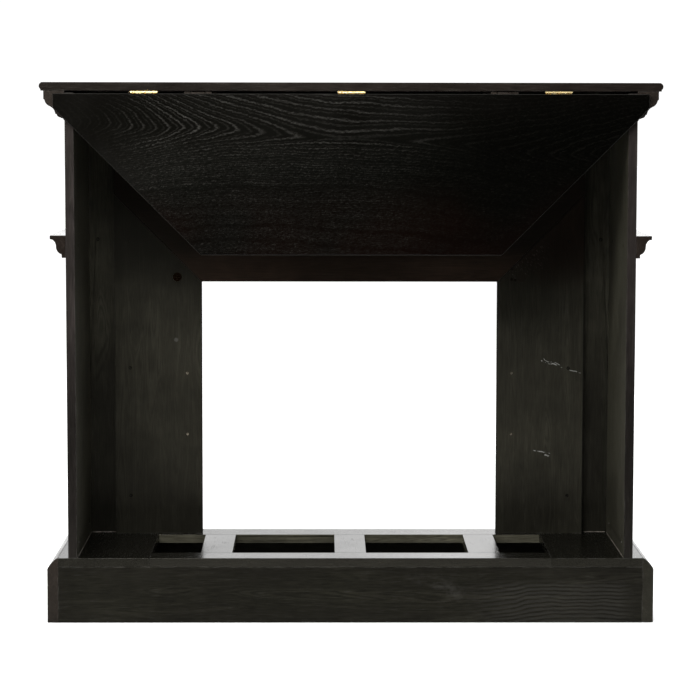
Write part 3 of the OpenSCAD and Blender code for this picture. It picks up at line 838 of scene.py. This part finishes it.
# Node name, grain axis, tone, roughness.
PLAIN_BOARDS = (
    ("top_slab", "X", shade(BROWN_BLACK, 0.72), 0.30),
    ("crown_front", "X", GREEN_BLACK, 0.32),
    ("crown_left", "Y", BROWN_BLACK, 0.36),
    ("crown_right", "Y", shade(BROWN_BLACK, 1.3), 0.36),
    ("frieze_panel", "X", GREEN_BLACK, 0.36),
    ("ledge_front", "X", GREEN_BLACK, 0.32),
    ("ledge_left", "Y", BROWN_BLACK, 0.2),
    ("ledge_right", "Y", BROWN_BLACK, 0.1),
    ("base_front_rail", "X", shade(GREEN_BLACK, 0.5), 0.32),
    ("base_left_rail", "Y", shade(GREEN_BLACK, 0.75), 0.2),
    ("base_right_rail", "Y", shade(BROWN_BLACK, 0.75), 0.2),
    ("loper_left", "Y", shade(BROWN_BLACK, 1.5), 0.5),
    ("loper_right", "Y", shade(BROWN_BLACK, 1.5), 0.5),
    ("top_cleat_left", "Y", shade(BROWN_BLACK, 0.4), 0.6),
    ("top_cleat_right", "Y", shade(BROWN_BLACK, 0.4), 0.6),
    ("loper_guide_left_outer", "Y", shade(BROWN_BLACK, 1.2), 0.5),
    ("loper_guide_left_inner", "Y", shade(BROWN_BLACK, 1.2), 0.5),
    ("loper_guide_right_inner", "Y", shade(BROWN_BLACK, 1.2), 0.5),
    ("loper_guide_right_outer", "Y", shade(BROWN_BLACK, 1.2), 0.5),
)

# Platform part, grain axis, amount of tone on the cut faces, gloss level.
PLATFORM_PARTS = (
    ("end_left", "Y", 0.35, 0.15),
    ("end_right", "Y", 0.35, 0.15),
    ("front_strip", "X", 4.0, 0.22),
    ("rear_strip", "X", 0.35, 0.22),
    ("rib_left", "Y", 4.0, 0.22),
    ("rib_centre", "Y", 4.0, 0.22),
    ("rib_right", "Y", 4.0, 0.22),
)

# Marks on the rear rail, in metres: the middle, bend and spacing of the arches, and the slanting smear.
RAIL_ARCH_X = -0.455
RAIL_ARCH_BEND = 0.42
RAIL_ARCH_STEP = 7.8 * MM
SMEAR_X = -0.285
SMEAR_SLANT = 1.6
SMEAR_HALF_WIDTH = 0.060

# Marks on the stiles: places in the XZ plane in metres, and sizes.
PILOT_X = 0.3225
PILOT_HEIGHTS = (0.3235, 0.4455)
PILOT_SIZE = 2.4 * MM
SMUDGE = ((0.344, 0.512), 4.5 * MM)
SCUFFS = (((-0.338, 0.641), 0.022), ((-0.330, 0.655), 0.020), ((-0.362, 0.684), 0.050))
CHIPS = (((-0.3215, 0.6330), 3.6 * MM), ((-0.3285, 0.6315), 3.2 * MM), ((-0.3221, 0.6530), 2.8 * MM))
SCRATCHES = (
    ((-0.377, 0.471), (-0.462, 0.446), 1.1 * MM, 0.46),
    ((-0.384, 0.474), (-0.420, 0.461), 0.8 * MM, 0.42),
    ((-0.366, 0.291), (-0.402, 0.285), 1.4 * MM, 0.46),
    ((-0.386, 0.283), (-0.400, 0.279), 2.4 * MM, 0.42),
)
SMUDGE_TONE = (0.50, 0.50, 0.48)
SCUFF_TONE = (0.22, 0.19, 0.17)
CHIP_TONE = (0.0030, 0.0014, 0.0005)
SCRATCH_TONE = (0.42, 0.42, 0.40)


def box_of(node_name):
    low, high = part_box(node_name)
    return tuple(low), tuple(high)


def ease_edges(node_name, width):
    """Joins the mesh's split corners and rounds its sharp edges."""
    weld = nodes[node_name].modifiers.new("joined corners", "WELD")
    weld.merge_threshold = WELD_DISTANCE
    bevel = nodes[node_name].modifiers.new("eased edges", "BEVEL")
    bevel.width = width
    bevel.segments = EASING_STEPS
    bevel.limit_method = "ANGLE"
    bevel.angle_limit = SHARP_ANGLE
    bevel.use_clamp_overlap = False
    bevel.harden_normals = True


def board(name, grain, seed, tone, rough, **options):
    """Paints one board with its own wood and eases its edges."""
    paint(name, wood(name + "_wood", box_of(name), grain, seed, tone, rough, **options))
    ease_edges(name, BOARD_EASING)


def plain_boards():
    for seed, (name, grain, tone, rough) in enumerate(PLAIN_BOARDS, start=1):
        board(name, grain, seed, tone, rough)


def side_panels():
    for name, seed, amount, worn in (("side_panel_left", 40, 2.6, 1.1), ("side_panel_right", 41, 2.0, 1.35)):
        # The rear edges keep a worn brown tone; low down that tone is darkened as painted shade.
        edge = [(rear_faces, shade(WORN_AND_SHADED_BROWN, worn)), (rear_foot, shade(WORN_AND_SHADED_BROWN, 0.32 * worn))]
        board(name, "Z", seed, shade(GREEN_BLACK, amount), 0.36, stains=edge)


def pilasters():
    for name, seed, amount in (("pilaster_left", 45, 1.6), ("pilaster_right", 46, 1.7)):
        # The lower part of each pilaster is darkened: painted shade, as the high key light leaves it darker
        # there.
        foot = [(low_part, shade(GREEN_BLACK, 0.36 * amount))]
        board(name, "Z", seed, shade(GREEN_BLACK, amount), 0.38, stains=foot)


def header():
    # The upper part of the header is darkened: painted shade where the leaf and slab keep the light off.
    shadowed = [(above_opening, shade(RED_BLACK, 0.30))]
    board("surround_header", "X", 9, RED_BLACK, 0.38, contrast=0.7, stains=shadowed)


def platform():
    for seed, (part, grain, sawn, level) in enumerate(PLATFORM_PARTS, start=50):
        cuts = [(cut_faces, shade(GREEN_BLACK, sawn))]
        board("platform_" + part, grain, seed, shade(GREEN_BLACK, 0.25), 0.2, level=level, stains=cuts)


def rail_arches(graph):
    """Mask of fine arched growth lines at one end of the rear rail."""
    x, _, z = graph.axes()
    along = graph.minus(x, RAIL_ARCH_X)
    lift = graph.wander(graph.place, reach=8.0 * MM, scale=14.0)
    across = graph.plus(graph.times(along, along, RAIL_ARCH_BEND), z, lift)
    line = ring_line(graph, graph.math("DIVIDE", across, RAIL_ARCH_STEP), rise=0.30, fade=0.50, gone=0.95)
    reach = graph.times(graph.band(x, -0.20, -0.32), graph.band(x, -0.545, -0.50))
    return graph.times(line, reach, graph.band(z, 0.085, 0.065))


def rail_smear(graph):
    """Mask of a smear of filler on the rear rail."""
    x, _, z = graph.axes()
    across = graph.math("ABSOLUTE", graph.minus(graph.scaled(z, -SMEAR_SLANT, x), SMEAR_X))
    near = graph.band(across, SMEAR_HALF_WIDTH, 0.0)
    height = graph.times(graph.band(z, 0.100, 0.075), graph.band(z, 0.030, 0.055))
    ragged = graph.noise(graph.stretched((1.0, 1.0, 2.5)), scale=24.0, detail=4.0, roughness=0.7)
    return graph.times(near, height, graph.band(ragged, 0.44, 0.66))


def rear_rail():
    board("base_rear_rail", "X", 60, shade(GREEN_BLACK, 0.42), 0.36, level=0.08, contrast=1.5,
          marks=[(rail_arches, 0.16, DUST_AND_HIGHLIGHT), (rail_smear, 0.22, DUST_AND_HIGHLIGHT)])


def stile_marks(name, side):
    """Pilot holes and joint lines on both stiles, a smudge on the right, and more wear on the left."""
    low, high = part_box(name)
    is_right = side > 0
    outer, inner = (high.x, low.x) if is_right else (low.x, high.x)
    hole_strength = 0.6 if is_right else 0.25
    outer_strength = 0.45 if is_right else 0.90
    marks = [(spot((side * PILOT_X, z), PILOT_SIZE), hole_strength, RAW_WOOD) for z in PILOT_HEIGHTS]
    marks.append((joint_line(outer, -side), outer_strength, GAP_AND_SHADE_BLACK))
    marks.append((joint_line(inner, side), 0.8, GAP_AND_SHADE_BLACK))
    if is_right:
        marks.append((spot(*SMUDGE), 0.06, SMUDGE_TONE))
    else:
        marks += [(scuff(*patch), 1.0, SCUFF_TONE) for patch in SCUFFS]
        marks += [(spot(*chip), 1.0, CHIP_TONE) for chip in CHIPS]
        marks += [(scratch(*line), 0.45, SCRATCH_TONE) for line in SCRATCHES]
    return [(on_rear(name, mask), strength, tone) for mask, strength, tone in marks]


def stiles():
    """The stiles keep their CAD edges, because eased ones show as lines between their screw holes."""
    for name, side, seed, amount, head_tone in (
            ("surround_stile_left", -1, 14, 1.35, RED_BLACK),
            ("surround_stile_right", 1, 15, 1.08, GREEN_BLACK)):
        tone = shade(GREEN_BLACK, amount)
        # The heads get painted shade where the leaf's shadow falls on them, and the feet painted shade
        # towards the bottom.
        ends = [(head_part, shade(head_tone, 0.50)), (foot_part, shade(tone, 0.62))]
        paint(name, wood(name + "_wood", box_of(name), "Z", seed, tone, 0.38,
                         contrast=0.75, stains=ends, marks=stile_marks(name, side)))


def leaf():
    paint("corner_leaf", leaf_veneer())
    ease_edges("corner_leaf", LEAF_EASING)


def hidden_pine():
    pine = raw_pine()
    for name in ("base_corner_blocks", "loper_straps"):
        paint(name, pine)
        ease_edges(name, BOARD_EASING)
    paint("platform_dowels", pine)


# ---------------------------------------------------------------- fittings

def fittings():
    """Hinges, cam locks, the cover cap and every screw."""
    brass = metal("bright_brass", colour=(0.83, 0.66, 0.34), tarnish=(0.36, 0.25, 0.10), rough=0.22)
    zinc = metal("zinc_plate", colour=(0.40, 0.40, 0.38), tarnish=(0.16, 0.16, 0.15), rough=0.42)
    stained = metal("stained_steel", colour=(0.016, 0.015, 0.012), tarnish=(0.004, 0.004, 0.003), rough=0.50)
    bronze = metal("dark_bronze", colour=(0.0075, 0.0040, 0.0018), tarnish=(0.002, 0.0014, 0.001), rough=0.55)
    for name in nodes:
        if name.startswith("hinge") and "screws" not in name:
            paint(name, brass)
    for name in ("cam_locks", "cam_bolts"):
        paint(name, bronze)
    paint("cam_cover_cap", cap_plastic())
    screw_piece("surround_screws", stained, "carcass")
    screw_piece("ledge_screws", stained, "carcass")
    screw_piece("foot_screws", zinc, "carcass")
    screw_piece("cleat_screws", zinc, "carcass")
    screw_piece("hinge_screws_slab", brass, "carcass")
    screw_piece("hinge_screws_leaf", brass, "leaf")


# ---------------------------------------------------------------- studio

FLOOR_HALF = 40.0
FLOOR_APRON = 0.8
FLOOR_TONES = (0.85, 0.85, 0.85), (0.87, 0.87, 0.87)
FLOOR_GLOW = 0.6
APRON_GLOW = 0.35
SHADE_FADE = 0.02
SHADE_SIDE_FADE = 0.03
BACK_GLOW = 1.5
CAMERA_SIDE_GLOW = 0.12
TOP_GLOW = 0.6
BACKDROP_GLOW = 1.1
WHITE = (1.0, 1.0, 1.0)

# Name, place and target in metres, width, height, watts.
LIGHTS = (
    ("overhead_softbox", (0.0, 0.2, 3.4), (0.0, 0.0, 0.0), 3.0, 2.0, 40.0),
    ("key_softbox", (0.9, 3.2, 2.6), (0.0, 0.0, 0.5), 2.2, 1.2, 140.0),
    ("side_softbox", (2.3, 2.6, 2.0), (-0.2, 0.0, 0.6), 1.2, 1.6, 45.0),
    ("fill_softbox", (-3.0, 3.0, 1.6), (0.0, 0.1, 0.5), 1.6, 2.0, 18.0),
    ("front_softbox", (-1.5, -4.0, 2.4), (0.0, 0.0, 0.5), 3.0, 2.0, 60.0),
)


def area_light(name, place, target, width, height, power):
    data = bpy.data.lights.new(name, "AREA")
    data.shape = "RECTANGLE"
    data.size = width
    data.size_y = height
    data.energy = power
    light = bpy.data.objects.new(name, data)
    bpy.context.collection.objects.link(light)
    light.location = place
    light.rotation_euler = (Vector(target) - Vector(place)).to_track_quat("-Z", "Y").to_euler()


def pale_floor():
    """Matt floor that glows a little, except under the mantel's footprint."""
    graph = Surface("pale_floor")
    x, y, _ = graph.axes()
    low, high = cad_box
    half_x = high[0]
    middle_y = 0.5 * (low[1] + high[1])
    half_y = 0.5 * (high[1] - low[1])
    off_y = graph.math("ABSOLUTE", graph.minus(y, middle_y))
    outside_x = graph.band(graph.math("ABSOLUTE", x), half_x - SHADE_SIDE_FADE, half_x + SHADE_FADE)
    outside_y = graph.band(off_y, half_y - SHADE_FADE, half_y + SHADE_FADE)
    glow = graph.band(y, rear_y - 0.1, rear_y + 0.2, FLOOR_GLOW, APRON_GLOW)
    glow = graph.times(graph.math("MAXIMUM", outside_x, outside_y), glow)
    tint = graph.mix(graph.noise(graph.place, scale=0.7, detail=2.0), *FLOOR_TONES)
    graph.set(Base_Color=tint, Roughness=0.9, Specular_IOR_Level=0.1)
    graph.set(Emission_Color=WHITE, Emission_Strength=glow)
    return graph.material


def make_floor():
    """Wide floor that ends a little behind the mantel, on the camera's side."""
    bm = bmesh.new()
    front, rear = -FLOOR_HALF, rear_y + FLOOR_APRON
    corners = ((-FLOOR_HALF, front), (FLOOR_HALF, front), (FLOOR_HALF, rear), (-FLOOR_HALF, rear))
    bm.faces.new([bm.verts.new((x, y, 0.0)) for x, y in corners])
    floor = new_object("floor", bm)
    floor.data.materials.append(pale_floor())


def background(graph, strength):
    node = graph.tree.nodes.new("ShaderNodeBackground")
    node.inputs["Color"].default_value = (*WHITE, 1.0)
    graph.put(strength, node.inputs["Strength"])
    return node.outputs[0]


def make_world():
    """Light that is bright beyond the mantel and dim on the camera's side; the camera itself sees white."""
    world = bpy.data.worlds.new("studio")
    world.use_nodes = True
    graph = Graph(world.node_tree, "Generated")
    _, y, z = graph.axes()
    around = graph.band(y, -0.75, 0.25, BACK_GLOW, CAMERA_SIDE_GLOW)
    above = graph.band(z, 0.35, 0.85)
    glow = graph.plus(graph.times(around, graph.minus(1.0, above)), graph.times(above, TOP_GLOW))
    is_seen = graph.tree.nodes.new("ShaderNodeLightPath").outputs["Is Camera Ray"]
    choose = graph.tree.nodes.new("ShaderNodeMixShader")
    graph.put(is_seen, choose.inputs[0])
    graph.put(background(graph, glow), choose.inputs[1])
    graph.put(background(graph, BACKDROP_GLOW), choose.inputs[2])
    output = graph.tree.nodes.new("ShaderNodeOutputWorld")
    graph.put(choose.outputs[0], output.inputs["Surface"])
    bpy.context.scene.world = world


def make_studio():
    make_floor()
    make_world()
    for light in LIGHTS:
        area_light(*light)
    view = bpy.context.scene.view_settings
    view.view_transform = "Standard"
    view.look = "None"


# ---------------------------------------------------------------- everything

make_camera()
plain_boards()
side_panels()
pilasters()
header()
platform()
rear_rail()
stiles()
leaf()
hidden_pine()
fittings()
glue_lines()
make_studio()
